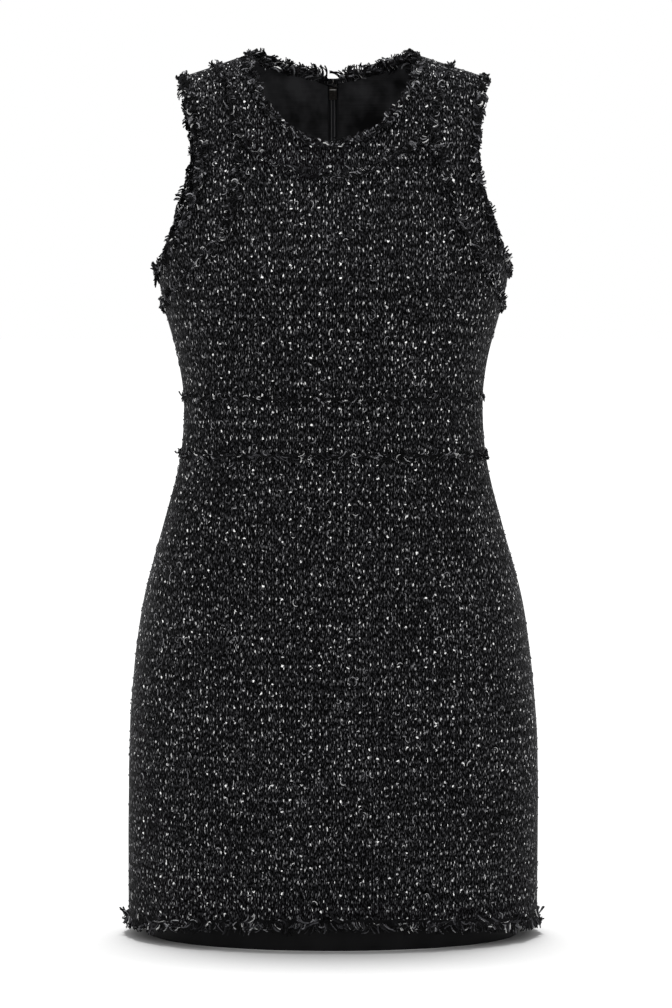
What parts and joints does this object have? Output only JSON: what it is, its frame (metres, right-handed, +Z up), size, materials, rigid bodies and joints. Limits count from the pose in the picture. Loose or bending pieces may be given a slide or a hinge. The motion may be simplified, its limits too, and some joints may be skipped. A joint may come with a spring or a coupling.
{
  "type": "sheath dress",
  "caption": "Sleeveless mini sheath dress in dark flecked tweed with fringed neck, armhole, waist and hem trims, a lining and a centre-back zip, filled out as worn.",
  "frame": {"origin": "midway between the two shoulder seams, at the height of their neck ends, where the wearer's shoulders hold the dress", "axes": "+Z up, front of the dress towards -Y, wearer's left towards +X"},
  "size_m": [0.3983, 0.2666, 0.8384],
  "materials": {
    "tweed": "rough boucle tweed, near black with grey and white flecks",
    "fringe": "frayed yarn, matt black with a few pale threads",
    "lining": "smooth black lining with a soft sheen",
    "zip_tape": "woven tape",
    "zip_coil": "dark nylon coil",
    "zip_metal": "small cast slider and pull"
  },
  "bodies": {
    "dress": {"neck_band_front": "tweed", "neck_band_back_left": "tweed", "neck_band_back_right": "tweed", "armhole_band_front_left": "tweed", "armhole_band_front_right": "tweed", "armhole_band_back_left": "tweed", "armhole_band_back_right": "tweed", "bodice_front": "tweed", "bodice_back_left": "tweed", "bodice_back_right": "tweed", "waistband_front": "tweed", "waistband_back_left": "tweed", "waistband_back_right": "tweed", "skirt_front": "tweed", "skirt_back_left": "tweed", "skirt_back_right": "tweed", "fringe_neck_front": "fringe", "fringe_neck_seam_front": "fringe", "fringe_neck_back_left": "fringe", "fringe_neck_back_right": "fringe", "fringe_neck_seam_back_left": "fringe", "fringe_neck_seam_back_right": "fringe", "fringe_armhole_left": "fringe", "fringe_armhole_right": "fringe", "fringe_armhole_seam_left": "fringe", "fringe_armhole_seam_right": "fringe", "fringe_waist_upper": "fringe", "fringe_waist_lower": "fringe", "fringe_hem": "fringe", "lining_front": "lining", "lining_back_left": "lining", "lining_back_right": "lining", "zip_tape_left": "zip_tape", "zip_tape_right": "zip_tape", "zip_chain": "zip_coil", "zip_slider": "zip_metal"},
    "pull": {"zip_pull": "zip_metal"}
  },
  "joints": [
    {"name": "pull_swing", "type": "hinge", "parent": "dress", "child": "pull", "pos_m": [0, 0.061, -0.02193], "axis": [1, 0, 0], "range_deg": [0, 150]}
  ]
}
